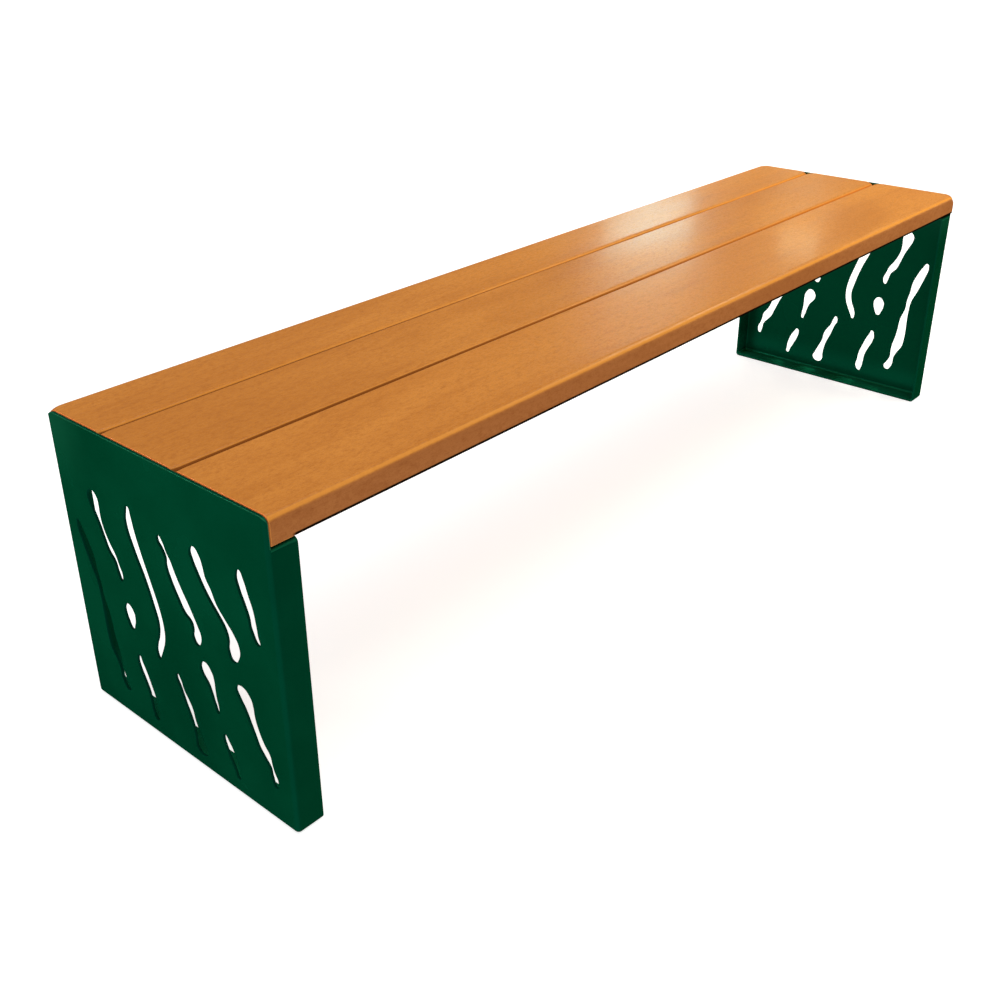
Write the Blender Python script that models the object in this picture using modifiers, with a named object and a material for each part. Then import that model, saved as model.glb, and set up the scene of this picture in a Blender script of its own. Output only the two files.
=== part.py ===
"""Backless street bench: two folded sheet steel end panels with cut-out slots, and three timber slats.

Frame: metres, +Z up. The origin is on the ground below the middle of the seat. +X runs along the seat, from
the left end panel to the right one, and +Y from the front of the seat to its rear.
"""

import math

import bmesh
import bpy
from mathutils import Matrix, Vector

MM = 0.001

# Whole bench
LENGTH = 1800 * MM
DEPTH = 450 * MM
HEIGHT = 450 * MM
GAP = 0.3 * MM  # left between pieces that touch

# Timber slats, from front to rear
SLAT_WIDTHS = {"front": 174 * MM, "middle": 155 * MM, "rear": 119 * MM}
SLAT_THICKNESS = 38 * MM
SLAT_SPACING = 1 * MM
ARRISES = {  # radii of each slat's two upper edges, front and rear
    "front": (10 * MM, 9 * MM),
    "middle": (9 * MM, 8 * MM),
    "rear": (8 * MM, 10 * MM),
}
LOWER_ARRIS = 3 * MM

# End panels
SHEET = 4 * MM
FLANGE_DEPTH = 42 * MM
SEAT_OVERHANG = 2 * MM  # the timber stands this far past the panels, front and rear
PLATE_DROP = 1.5 * MM  # the upper plate stops this far below the top of the timber
PLATE_CORNERS = (17 * MM, 11 * MM)  # radii of the left plate's upper corners, rear and front
BEND_OUTSIDE = 7 * MM
BEND_INSIDE = BEND_OUTSIDE - SHEET

# Pads, brace and screws
PAD_THICKNESS = 3 * MM
PAD_DEPTH = 30 * MM
PAD_MARGIN = 8 * MM
PAD_CORNER = 3 * MM
BRACE_WIDTH = 40 * MM
BRACE_THICKNESS = 5 * MM
BRACE_LENGTH = 400 * MM
BRACE_CORNER = 5 * MM
SCREW_RADIUS = 4 * MM
SCREW_REACH = 28 * MM  # how far a screw enters the timber
SCREW_POINT = 0.6  # the end of a screw, as a part of its full width
HEAD_ACROSS_FLATS = 13 * MM
HEAD_HEIGHT = 5.3 * MM
WASHER_RADIUS = 9 * MM
WASHER_THICKNESS = 1.6 * MM
STEEL_HOLE_RADIUS = 4.6 * MM
CLOSE_HOLE_RADIUS = SCREW_RADIUS + GAP

# How finely curved shapes are divided, and how far a cutter passes the face that it opens
SLOT_STEPS = 3
CORNER_STEPS = 6
BEND_STEPS = 4
SMOOTH_BELOW = math.radians(35)  # edges flatter than this are shaded as round
ROUND_SIDES = 12
CUTTER_PAST = 5 * MM
TINY = 0.001 * MM

# Heights worked out from the sizes above
SLAT_BOTTOM = HEIGHT - SLAT_THICKNESS
PAD_BOTTOM = SLAT_BOTTOM - GAP - PAD_THICKNESS
SHELF_TOP = PAD_BOTTOM - GAP
PANEL_WIDTH = DEPTH - 2 * SEAT_OVERHANG
SCREW_LINE = LENGTH / 2 - (SHEET + FLANGE_DEPTH) / 2  # distance of the end screws from mid span
SLAT_LENGTH = LENGTH - 2 * (SHEET + GAP)

# The slots of an end panel, seen from outside. Each station is (distance from the panel's rear edge,
# height, width) in millimetres, from the top of the slot down. A width of 0 is the tip of a rounded end.
SLOTS = [
    [
        (31, 298, 0), (34, 288, 13), (41, 270, 18), (48, 250, 19), (53, 230, 14), (59, 210, 10),
        (61, 190, 9), (65, 165, 16), (66, 140, 19), (68, 120, 21), (71, 105, 22), (76, 90, 15),
        (79, 75, 9), (82, 62, 14), (87, 50, 15), (86, 44, 0),
    ],
    [
        (81, 359, 0), (81, 351, 22), (82, 340, 23), (85, 326, 16), (90, 310, 11), (98, 290, 13),
        (106, 275, 17), (114, 262, 11), (119, 245, 11), (119, 236, 0),
    ],
    [(126, 204, 0), (126, 195, 22), (126, 186, 24), (126, 175, 18), (126, 163, 0)],
    [
        (163, 364, 0), (161, 350, 14), (161, 334, 19), (170, 300, 19), (184, 262, 16), (195, 225, 16),
        (199, 200, 14), (196, 180, 15), (188, 162, 15), (184, 151, 11), (183, 142, 0),
    ],
    [
        (225, 346, 0), (227, 338, 13), (233, 327, 10), (239, 316, 12), (241, 304, 18), (249, 284, 22),
        (260, 264, 24), (269, 248, 23), (278, 238, 15), (281, 228, 17), (279, 216, 17), (278, 207, 0),
    ],
    [
        (299, 358, 0), (299, 349, 20), (302, 337, 22), (307, 322, 18), (315, 308, 19), (324, 292, 15),
        (338, 276, 15), (351, 261, 18), (357, 246, 22), (355, 230, 22), (351, 217, 0),
    ],
    [
        (385, 361, 0), (385, 350, 15), (389, 333, 18), (396, 314, 17), (400, 298, 14), (402, 282, 13),
        (409, 266, 0),
    ],
    [
        (132, 125, 0), (132, 115, 12), (136, 102, 17), (143, 84, 16), (149, 67, 15), (151, 50, 15),
        (153, 33, 14), (151, 25, 0),
    ],
    [
        (221, 138, 0), (222, 130, 11), (227, 116, 10), (233, 104, 14), (238, 92, 16), (243, 75, 12),
        (248, 60, 14), (253, 42, 20), (255, 29, 24), (253, 21, 0),
    ],
    [
        (290, 188, 0), (290, 178, 24), (292, 167, 26), (297, 154, 16), (300, 140, 11), (303, 126, 9),
        (305, 115, 0),
    ],
    [(312, 87, 0), (315, 78, 13), (320, 66, 17), (325, 53, 16), (330, 38, 11), (333, 24, 0)],
    [
        (362, 187, 0), (364, 177, 29), (368, 165, 28), (373, 151, 20), (379, 134, 17), (387, 116, 18),
        (394, 104, 22), (400, 92, 15), (406, 81, 9), (410, 68, 12), (411, 55, 0),
    ],
]


def remove_everything():
    for obj in list(bpy.data.objects):
        bpy.data.objects.remove(obj, do_unlink=True)


def new_collection(name):
    collection = bpy.data.collections.new(name)
    bpy.context.scene.collection.children.link(collection)
    return collection


def new_material(name, colour, roughness, metallic):
    material = bpy.data.materials.new(name)
    material.use_nodes = True
    shader = material.node_tree.nodes["Principled BSDF"]
    shader.inputs["Base Color"].default_value = (*colour, 1.0)
    shader.inputs["Roughness"].default_value = roughness
    shader.inputs["Metallic"].default_value = metallic
    return material


def new_object(name, mesh, collection, material=None):
    obj = bpy.data.objects.new(name, mesh)
    collection.objects.link(obj)
    if material is not None:
        mesh.materials.clear()
        mesh.materials.append(material)
    return obj


def mesh_from(bm, name):
    mesh = bpy.data.meshes.new(name)
    bmesh.ops.recalc_face_normals(bm, faces=bm.faces)
    bm.to_mesh(mesh)
    bm.free()
    return mesh


def evaluated_mesh(obj, name):
    """A plain mesh of the object as its modifiers or its curve make it."""
    graph = bpy.context.evaluated_depsgraph_get()
    mesh = bpy.data.meshes.new_from_object(obj.evaluated_get(graph))
    mesh.name = name
    return mesh


def face_outwards(mesh):
    bm = bmesh.new()
    bm.from_mesh(mesh)
    bmesh.ops.recalc_face_normals(bm, faces=bm.faces)
    bm.to_mesh(mesh)
    bm.free()


def shade_round(mesh):
    mesh.shade_smooth()
    mesh.set_sharp_from_angle(angle=SMOOTH_BELOW)


def box(low, high):
    """A bmesh box between two corners."""
    bm = bmesh.new()
    bmesh.ops.create_cube(bm, size=1.0)
    low = Vector(low)
    high = Vector(high)
    bmesh.ops.scale(bm, vec=high - low, verts=bm.verts)
    bmesh.ops.translate(bm, vec=(low + high) / 2, verts=bm.verts)
    return bm


def add_cylinder(bm, radius, bottom, top, sides=ROUND_SIDES):
    """Adds a closed cylinder that stands between two points, one above the other."""
    bottom = Vector(bottom)
    top = Vector(top)
    bmesh.ops.create_cone(
        bm,
        cap_ends=True,
        segments=sides,
        radius1=radius,
        radius2=radius,
        depth=(top - bottom).length,
        matrix=Matrix.Translation((bottom + top) / 2),
    )


def add_boolean(obj, operation, other):
    modifier = obj.modifiers.new(operation.lower(), "BOOLEAN")
    modifier.operation = operation
    modifier.solver = "EXACT"
    modifier.object = other


def keep_as_cutter(obj):
    obj.hide_render = True
    obj.display_type = "WIRE"


def rounded_outline(low, high, radii):
    """Points of a rectangle with rounded corners: radii at low-low, high-low, high-high and low-high."""
    corners = [
        (low[0], low[1], 1, 1, 180),
        (high[0], low[1], -1, 1, 270),
        (high[0], high[1], -1, -1, 0),
        (low[0], high[1], 1, -1, 90),
    ]
    points = []
    for (x, y, side_x, side_y, start), radius in zip(corners, radii):
        if radius == 0:
            points.append((x, y))
            continue
        centre = (x + side_x * radius, y + side_y * radius)
        for step in range(CORNER_STEPS + 1):
            angle = math.radians(start + 90 * step / CORNER_STEPS)
            points.append((centre[0] + radius * math.cos(angle), centre[1] + radius * math.sin(angle)))
    return points


def flat_curve(name, points, thickness, collection, smooth_steps=0):
    """A closed flat outline, filled and given a thickness. With smooth_steps it curves through its points."""
    curve = bpy.data.curves.new(name, "CURVE")
    curve.dimensions = "2D"
    curve.fill_mode = "BOTH"
    curve.extrude = thickness / 2
    if smooth_steps:
        curve.resolution_u = smooth_steps
        spline = curve.splines.new("BEZIER")
        spline.bezier_points.add(len(points) - 1)
        for point, (x, y) in zip(spline.bezier_points, points):
            point.co = (x, y, 0)
            point.handle_left_type = "AUTO"
            point.handle_right_type = "AUTO"
    else:
        spline = curve.splines.new("POLY")
        spline.points.add(len(points) - 1)
        for point, (x, y) in zip(spline.points, points):
            point.co = (x, y, 0, 1)
    spline.use_cyclic_u = True
    obj = bpy.data.objects.new(name, curve)
    collection.objects.link(obj)
    return obj


def mesh_of_curve(obj, placement):
    """The curve's solid as a welded mesh, moved by the placement. The curve itself is removed."""
    mesh = evaluated_mesh(obj, obj.name)
    bpy.data.objects.remove(obj, do_unlink=True)
    bm = bmesh.new()
    bm.from_mesh(mesh)
    bmesh.ops.remove_doubles(bm, verts=bm.verts, dist=TINY)
    bmesh.ops.transform(bm, matrix=placement, verts=bm.verts)
    bmesh.ops.recalc_face_normals(bm, faces=bm.faces)
    bm.to_mesh(mesh)
    bm.free()
    return mesh


# A flat curve's own X and Y laid along the bench's Y and Z
STANDING = Matrix(((0, 0, 1, 0), (1, 0, 0, 0), (0, 1, 0, 0), (0, 0, 0, 1)))


def round_edges(bm, keep_sharp, radius, steps):
    """Rounds every edge of a box, apart from those that have keep_sharp true at both ends."""
    edges = [edge for edge in bm.edges if not all(keep_sharp(vert.co) for vert in edge.verts)]
    bmesh.ops.bevel(
        bm,
        geom=edges,
        offset=radius,
        segments=steps,
        profile=0.5,
        affect="EDGES",
        clamp_overlap=True,
    )


def slot_outline(stations):
    """One side of the slot from the top down, then the other back up, with a single point at each tip."""
    middle = [station for station in stations if station[2] > 0]
    points = [stations[0][:2]]
    points += [(across + width / 2, up) for across, up, width in middle]
    points.append(stations[-1][:2])
    points += [(across - width / 2, up) for across, up, width in reversed(middle)]
    rear_edge = PANEL_WIDTH / 2
    return [(rear_edge - across * MM, up * MM) for across, up in points]


def slot_cutter(outside, cutters):
    """All the slots as one cutter that passes through the panel's sheet."""
    bm = bmesh.new()
    for number, stations in enumerate(SLOTS, 1):
        curve = flat_curve(f"slot_{number}", slot_outline(stations), 3 * SHEET, cutters, SLOT_STEPS)
        mesh = mesh_of_curve(curve, Matrix.Translation((outside + SHEET / 2, 0, 0)) @ STANDING)
        bm.from_mesh(mesh)
    return new_object("slots", mesh_from(bm, "slots"), cutters)


def slat_screw_places(front, width):
    return [front + width / 4, front + 3 * width / 4]


def screw_places():
    """How far from the middle of the bench each screw is, front to rear: two for each slat."""
    places = []
    front = -DEPTH / 2
    for width in SLAT_WIDTHS.values():
        places += slat_screw_places(front, width)
        front += width + SLAT_SPACING
    return places


def cutter_above(name, height, corners, near, far, cutters):
    """Takes away the steel above a height, between two distances along the bench. Rounded corners, with the
    radii in corners, are left at the panel's rear and front.
    """
    half = PANEL_WIDTH / 2
    shoulders = rounded_outline((-half, 0), (half, height), (0, 0, *corners))[2:]
    rear_start = shoulders[0][1]
    front_start = shoulders[-1][1]
    wide = half + CUTTER_PAST
    above = HEIGHT + 2 * CUTTER_PAST
    outline = [(wide, rear_start), *shoulders, (-wide, front_start), (-wide, above), (wide, above)]
    curve = flat_curve(name, outline, far - near, cutters)
    placement = Matrix.Translation(((near + far) / 2, 0, 0)) @ STANDING
    return new_object(name, mesh_of_curve(curve, placement), cutters)


def panel_mesh(name, screw_holes, cutters):
    """An end panel, placed as the left one: a folded tray, open towards the middle of the bench, whose outer
    sheet goes on above the shelf as a plate. The shelf is drilled at the distances in screw_holes.
    """
    outside = -LENGTH / 2
    inside = outside + SHEET
    opening = outside + FLANGE_DEPTH
    half = PANEL_WIDTH / 2

    above = HEIGHT + CUTTER_PAST
    blank = box((outside, -half, 0), (opening, half, above))
    round_edges(
        blank,
        lambda co: co.x > opening - TINY or co.z > above - TINY,
        BEND_OUTSIDE,
        BEND_STEPS,
    )
    panel = new_object("panel_blank", mesh_from(blank, "panel_blank"), cutters)

    past = opening + CUTTER_PAST
    hollow = box((inside, -half + SHEET, SHEET), (past, half - SHEET, SHELF_TOP - SHEET))
    round_edges(hollow, lambda co: co.x > past - TINY, BEND_INSIDE, BEND_STEPS // 2)
    hollow = new_object("panel_hollow", mesh_from(hollow, "panel_hollow"), cutters)

    bends = (BEND_OUTSIDE, BEND_OUTSIDE)
    over_shelf = cutter_above("over_shelf", SHELF_TOP, bends, inside, past, cutters)
    over_plate = cutter_above(
        "over_plate",
        HEIGHT - PLATE_DROP,
        PLATE_CORNERS,
        outside - CUTTER_PAST,
        inside + CUTTER_PAST,
        cutters,
    )

    holes = bmesh.new()
    for across in screw_holes:
        below = (-SCREW_LINE, across, SHELF_TOP - SHEET - CUTTER_PAST)
        top = (-SCREW_LINE, across, SHELF_TOP + CUTTER_PAST)
        add_cylinder(holes, STEEL_HOLE_RADIUS, below, top)
    holes = new_object("panel_holes", mesh_from(holes, "panel_holes"), cutters)

    slots = slot_cutter(outside, cutters)
    for cutter in (hollow, over_shelf, over_plate, slots, holes):
        add_boolean(panel, "DIFFERENCE", cutter)
        keep_as_cutter(cutter)
    keep_as_cutter(panel)
    mesh = evaluated_mesh(panel, name)
    shade_round(mesh)
    return mesh


def slat_mesh(name, front, width, cutters):
    """A slat with rounded arrises, and blind holes for its screws on the underside."""
    front_arris, rear_arris = ARRISES[name]
    outline = rounded_outline(
        (front, SLAT_BOTTOM),
        (front + width, HEIGHT),
        (LOWER_ARRIS, LOWER_ARRIS, rear_arris, front_arris),
    )
    curve = flat_curve(f"slat_{name}_blank", outline, SLAT_LENGTH, cutters)
    slat = new_object(f"slat_{name}_blank", mesh_of_curve(curve, STANDING), cutters)

    holes = bmesh.new()
    for along in (-SCREW_LINE, 0, SCREW_LINE):
        for across in slat_screw_places(front, width):
            below = (along, across, SLAT_BOTTOM - CUTTER_PAST)
            above = (along, across, SLAT_BOTTOM + SCREW_REACH + GAP)
            add_cylinder(holes, CLOSE_HOLE_RADIUS, below, above)
    holes = new_object(f"slat_{name}_holes", mesh_from(holes, f"slat_{name}_holes"), cutters)
    add_boolean(slat, "DIFFERENCE", holes)
    for cutter in (slat, holes):
        keep_as_cutter(cutter)
    mesh = evaluated_mesh(slat, f"slat_{name}")
    shade_round(mesh)
    return mesh


def drilled_bar_mesh(name, low, high, corner, hole_radius, places, cutters):
    """A flat bar with rounded corners, and a hole right through at each (x, y) place."""
    outline = rounded_outline((low[0], low[1]), (high[0], high[1]), (corner,) * 4)
    curve = flat_curve(f"{name}_blank", outline, high[2] - low[2], cutters)
    placement = Matrix.Translation((0, 0, (low[2] + high[2]) / 2))
    bar = new_object(f"{name}_blank", mesh_of_curve(curve, placement), cutters)
    holes = bmesh.new()
    for x, y in places:
        add_cylinder(holes, hole_radius, (x, y, low[2] - CUTTER_PAST), (x, y, high[2] + CUTTER_PAST))
    holes = new_object(f"{name}_holes", mesh_from(holes, f"{name}_holes"), cutters)
    add_boolean(bar, "DIFFERENCE", holes)
    for cutter in (bar, holes):
        keep_as_cutter(cutter)
    return evaluated_mesh(bar, name)


def screw_mesh(grip, cutters):
    """A hex head coach screw. Its origin is under the head, and grip is the thickness it clamps."""
    end = grip + SCREW_REACH
    shank = bmesh.new()
    add_cylinder(shank, SCREW_RADIUS, (0, 0, -HEAD_HEIGHT / 2), (0, 0, end))
    point = [vert for vert in shank.verts if vert.co.z > end - TINY]
    bmesh.ops.scale(shank, vec=(SCREW_POINT, SCREW_POINT, 1), verts=point)
    shank = new_object("screw_shank", mesh_from(shank, "screw_shank"), cutters)

    head = bmesh.new()
    add_cylinder(head, HEAD_ACROSS_FLATS / math.sqrt(3), (0, 0, -HEAD_HEIGHT), (0, 0, 0), 6)
    head = new_object("screw_head", mesh_from(head, "screw_head"), cutters)

    add_boolean(head, "UNION", shank)
    for cutter in (shank, head):
        keep_as_cutter(cutter)
    return evaluated_mesh(head, "coach_screw")


def washer_mesh(cutters):
    """A flat washer, turned from its section. Its origin is on the axis, on the upper face."""
    inner = CLOSE_HOLE_RADIUS
    outer = WASHER_RADIUS
    section = [
        (outer, 0, 0),
        (outer, 0, -WASHER_THICKNESS),
        (inner, 0, -WASHER_THICKNESS),
        (inner, 0, 0),
    ]
    profile = bpy.data.meshes.new("washer_section")
    profile.from_pydata(section, [(0, 1), (1, 2), (2, 3), (3, 0)], [])
    washer = new_object("washer_section", profile, cutters)
    turn = washer.modifiers.new("turn", "SCREW")
    turn.axis = "Z"
    turn.steps = ROUND_SIDES
    turn.render_steps = ROUND_SIDES
    turn.use_merge_vertices = True
    turn.merge_threshold = 0.00001
    turn.use_normal_calculate = True
    keep_as_cutter(washer)
    mesh = evaluated_mesh(washer, "washer")
    face_outwards(mesh)
    shade_round(mesh)
    return mesh


def place_part(name, mesh, collection, material, parent, location=(0, 0, 0), turn=0.0):
    obj = new_object(name, mesh, collection, material)
    obj.location = location
    obj.rotation_euler = (0, 0, turn)
    obj.parent = parent
    return obj


def add_panels(bench, cutters, root):
    coat = new_material("green_powder_coat", (0.0, 0.045, 0.02), 0.3, 0.0)
    left = panel_mesh("left_end_panel", screw_places(), cutters)
    place_part("left_end_panel", left, bench, coat, root)
    turned_places = [-across for across in screw_places()]
    right = panel_mesh("right_end_panel", turned_places, cutters)
    place_part("right_end_panel", right, bench, coat, root, turn=math.pi)


def add_slats(bench, cutters, root):
    front = -DEPTH / 2
    for name, width in SLAT_WIDTHS.items():
        timber = new_material(f"varnished_timber_{name}", (0.56, 0.21, 0.05), 0.35, 0.0)
        place_part(f"slat_{name}", slat_mesh(name, front, width, cutters), bench, timber, root)
        front += width + SLAT_SPACING


def add_pads(bench, cutters, root):
    """One pad under each end of each slat, around its two screws."""
    rubber = new_material("black_rubber", (0.02, 0.02, 0.02), 0.8, 0.0)
    front = -DEPTH / 2
    for name, width in SLAT_WIDTHS.items():
        for side, sign in (("left", -1), ("right", 1)):
            along = sign * SCREW_LINE
            low = (along - PAD_DEPTH / 2, front + PAD_MARGIN, PAD_BOTTOM)
            high = (along + PAD_DEPTH / 2, front + width - PAD_MARGIN, PAD_BOTTOM + PAD_THICKNESS)
            places = [(along, across) for across in slat_screw_places(front, width)]
            pad = f"{side}_pad_{name}"
            mesh = drilled_bar_mesh(pad, low, high, PAD_CORNER, CLOSE_HOLE_RADIUS, places, cutters)
            place_part(pad, mesh, bench, rubber, root)
        front += width + SLAT_SPACING


def add_brace(bench, cutters, root):
    steel = new_material("brace_powder_coat", (0.0, 0.035, 0.016), 0.35, 0.0)
    top = SLAT_BOTTOM - GAP
    low = (-BRACE_WIDTH / 2, -BRACE_LENGTH / 2, top - BRACE_THICKNESS)
    high = (BRACE_WIDTH / 2, BRACE_LENGTH / 2, top)
    places = [(0, across) for across in screw_places()]
    mesh = drilled_bar_mesh("centre_brace", low, high, BRACE_CORNER, STEEL_HOLE_RADIUS, places, cutters)
    place_part("centre_brace", mesh, bench, steel, root)


def add_screws(bench, cutters, root):
    """A washer and a screw at each place, under the end shelves and under the brace."""
    zinc = new_material("zinc_plate", (0.6, 0.6, 0.62), 0.3, 1.0)
    washer_zinc = new_material("washer_zinc_plate", (0.62, 0.62, 0.63), 0.35, 1.0)
    washer = washer_mesh(cutters)
    rows = [
        ("left", -SCREW_LINE, SHELF_TOP - SHEET),
        ("right", SCREW_LINE, SHELF_TOP - SHEET),
        ("brace", 0.0, SLAT_BOTTOM - GAP - BRACE_THICKNESS),
    ]
    for row, along, steel_bottom in rows:
        washer_top = steel_bottom - GAP
        head_top = washer_top - WASHER_THICKNESS - GAP
        screw = screw_mesh(SLAT_BOTTOM - head_top, cutters)
        for number, across in enumerate(screw_places(), 1):
            washer_place = (along, across, washer_top)
            place_part(f"{row}_washer_{number}", washer, bench, washer_zinc, root, washer_place)
            screw_place = (along, across, head_top)
            place_part(f"{row}_screw_{number}", screw, bench, zinc, root, screw_place)


def main():
    remove_everything()
    bench = new_collection("backless_bench")
    cutters = new_collection("cutters")
    root = bpy.data.objects.new("bench_origin", None)
    bench.objects.link(root)
    add_panels(bench, cutters, root)
    add_slats(bench, cutters, root)
    add_pads(bench, cutters, root)
    add_brace(bench, cutters, root)
    add_screws(bench, cutters, root)


main()
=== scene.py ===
"""Looks of the backless street bench: varnished timber slats on powder coated sheet steel end panels.

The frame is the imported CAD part, in metres, +Z up. X runs along the seat, Y runs from front to rear, and the
ground is at z = 0. Every piece rides on the one body, root. Its place comes from the CAD node it stands for.
"""

import math

import bmesh
import bpy
from mathutils import Matrix, Vector, noise


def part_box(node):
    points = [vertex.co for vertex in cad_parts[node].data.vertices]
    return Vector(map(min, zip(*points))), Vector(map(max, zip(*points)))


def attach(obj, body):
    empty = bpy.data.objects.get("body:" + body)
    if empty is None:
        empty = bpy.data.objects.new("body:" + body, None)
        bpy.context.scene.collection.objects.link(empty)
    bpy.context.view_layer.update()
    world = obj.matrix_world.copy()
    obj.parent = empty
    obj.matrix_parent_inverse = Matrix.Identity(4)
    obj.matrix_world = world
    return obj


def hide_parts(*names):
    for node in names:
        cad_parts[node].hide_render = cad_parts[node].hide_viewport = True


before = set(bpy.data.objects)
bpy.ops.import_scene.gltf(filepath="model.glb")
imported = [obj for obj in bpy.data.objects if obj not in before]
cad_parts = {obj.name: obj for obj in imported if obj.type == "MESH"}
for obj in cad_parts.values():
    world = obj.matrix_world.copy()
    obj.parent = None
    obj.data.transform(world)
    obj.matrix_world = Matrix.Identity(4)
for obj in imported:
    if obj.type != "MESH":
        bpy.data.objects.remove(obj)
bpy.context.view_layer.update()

MM = 0.001
FRONT_MIDDLE_REAR = ("front", "middle", "rear")
SCREW_ROWS = ("left", "right", "brace")
SCREWS_IN_A_ROW = 6

# End panels
SHEET = 4 * MM
BEND_OUTSIDE = 7 * MM
BEND_INSIDE = BEND_OUTSIDE - SHEET
FLANGE_DEPTH = 42 * MM
SHELF_TOP = 408.4 * MM
PLATE_CORNERS = (17 * MM, 11 * MM)  # radii of the left plate's upper corners, rear and front
BLANK_TOP = 460 * MM  # the outer sheet before its upper edge is cut
EDGE_ROUND = 0.7 * MM  # how far the laser cut edges are eased
CUTTER_PAST = 5 * MM  # how far a cutter passes the face that it opens
TINY = 0.001 * MM
SLOT_STEPS = 6  # how finely a slot's outline is divided between its stations
EASE_ANGLES = [math.radians(angle) for angle in (15, 40, 65, 90)]  # steps round an eased edge
STEEL_HOLE_RADIUS = 4.6 * MM

# Timber
ARRISES = {  # radii of each slat's two upper edges, front and rear
    "front": (10 * MM, 9 * MM),
    "middle": (9 * MM, 8 * MM),
    "rear": (8 * MM, 10 * MM),
}
LOWER_ARRIS = 3 * MM
END_ARRIS = 0.9 * MM
END_WEAR = {"left": 2.5 * MM, "right": 10 * MM}  # how much rounder the upper edges are at a slat's ends
CORNER_WEAR = 9 * MM  # the same at the seat's left rear corner
END_WEAR_LENGTH = 16 * MM
PLANING = 0.10 * MM  # how deep the plane went, on average
GROOVE_SHADE = {  # how far below the seat the painted shade in a groove begins, and where it is full
    "front": (2.0 * MM, 3.6 * MM),
    "middle": (1.7 * MM, 3.0 * MM),
    "rear": (2.4 * MM, 4.0 * MM),
}
SCREW_REACH = 28 * MM  # how far the screws go up into the timber
HOLE_PAST_SCREW = 0.3 * MM
CLOSE_HOLE_RADIUS = 4.3 * MM

# Screws, washers and brace
SCREW_RADIUS = 4 * MM
HEAD_ACROSS_FLATS = 13 * MM
HEAD_HEIGHT = 5.3 * MM
HEAD_CHAMFER = math.radians(28)
THREAD_PITCH = 3.2 * MM
THREAD_CORE = 0.74  # the thread's smallest radius over the shank's
THREAD_START = 0.45  # how far up the shank the thread begins
WASHER_RADIUS = 9 * MM
WASHER_THICKNESS = 1.6 * MM
WASHER_EDGE = 0.3 * MM
BRACE_CORNER = 5 * MM
PAD_CORNER = 3 * MM
PAD_EDGE = 0.4 * MM

# The slots of an end panel, seen from outside. Each station is (distance from the panel's rear edge,
# height, width) in millimetres, from the top of the slot down. A width of 0 is the tip of a rounded end.
SLOTS = [
    [
        (31, 298, 0), (34, 288, 13), (41, 270, 18), (48, 250, 19), (53, 230, 14), (59, 210, 10),
        (61, 190, 9), (65, 165, 16), (66, 140, 19), (68, 120, 21), (71, 105, 22), (76, 90, 15),
        (79, 75, 9), (82, 62, 14), (87, 50, 15), (86, 44, 0),
    ],
    [
        (81, 359, 0), (81, 351, 22), (82, 340, 23), (85, 326, 16), (90, 310, 11), (98, 290, 13),
        (106, 275, 17), (114, 262, 11), (119, 245, 11), (119, 236, 0),
    ],
    [(126, 204, 0), (126, 195, 22), (126, 186, 24), (126, 175, 18), (126, 163, 0)],
    [
        (163, 364, 0), (161, 350, 14), (161, 334, 19), (170, 300, 19), (184, 262, 16), (195, 225, 16),
        (199, 200, 14), (196, 180, 15), (188, 162, 15), (184, 151, 11), (183, 142, 0),
    ],
    [
        (225, 346, 0), (227, 338, 13), (233, 327, 10), (239, 316, 12), (241, 304, 18), (249, 284, 22),
        (260, 264, 24), (269, 248, 23), (278, 238, 15), (281, 228, 17), (279, 216, 17), (278, 207, 0),
    ],
    [
        (299, 358, 0), (299, 349, 20), (302, 337, 22), (307, 322, 18), (315, 308, 19), (324, 292, 15),
        (338, 276, 15), (351, 261, 18), (357, 246, 22), (355, 230, 22), (351, 217, 0),
    ],
    [
        (385, 361, 0), (385, 350, 15), (389, 333, 18), (396, 314, 17), (400, 298, 14), (402, 282, 13),
        (409, 266, 0),
    ],
    [
        (132, 125, 0), (132, 115, 12), (136, 102, 17), (143, 84, 16), (149, 67, 15), (151, 50, 15),
        (153, 33, 14), (151, 25, 0),
    ],
    [
        (221, 138, 0), (222, 130, 11), (227, 116, 10), (233, 104, 14), (238, 92, 16), (243, 75, 12),
        (248, 60, 14), (253, 42, 20), (255, 29, 24), (253, 21, 0),
    ],
    [
        (290, 188, 0), (290, 178, 24), (292, 167, 26), (297, 154, 16), (300, 140, 11), (303, 126, 9),
        (305, 115, 0),
    ],
    [(312, 87, 0), (315, 78, 13), (320, 66, 17), (325, 53, 16), (330, 38, 11), (333, 24, 0)],
    [
        (362, 187, 0), (364, 177, 29), (368, 165, 28), (373, 151, 20), (379, 134, 17), (387, 116, 18),
        (394, 104, 22), (400, 92, 15), (406, 81, 9), (410, 68, 12), (411, 55, 0),
    ],
]

# The timber's noises: scale along the grain, scale across it, detail, roughness and distortion
TIMBER_NOISES = {
    "cloud": (2.6, 11, 3, 0.55, 0.4),
    "figure": (9, 75, 4, 0.6, 0.8),
    "fibre": (30, 700, 3, 0.6, 0.0),
    "mottle": (110, 190, 4, 0.7, 0.0),
    "speckle": (450, 620, 2, 0.6, 0.0),
    "pores": (60, 900, 2, 0.5, 0.0),
    "sheen": (160, 620, 3, 0.7, 0.0),
    "ripple": (22, 120, 3, 0.55, 1.2),
}

# Linear red, green and blue
TIMBER_LIGHT = (0.580, 0.222, 0.043)
TIMBER_MIDDLE = (0.500, 0.179, 0.032)
TIMBER_DARK = (0.350, 0.107, 0.018)
COAT_DEEP = (0.0, 0.038, 0.0185)
COAT_BRIGHT = (0.0007, 0.050, 0.0250)
COAT_FRESH = (0.0004, 0.042, 0.0185)


# ---- Node helpers ----


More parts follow.
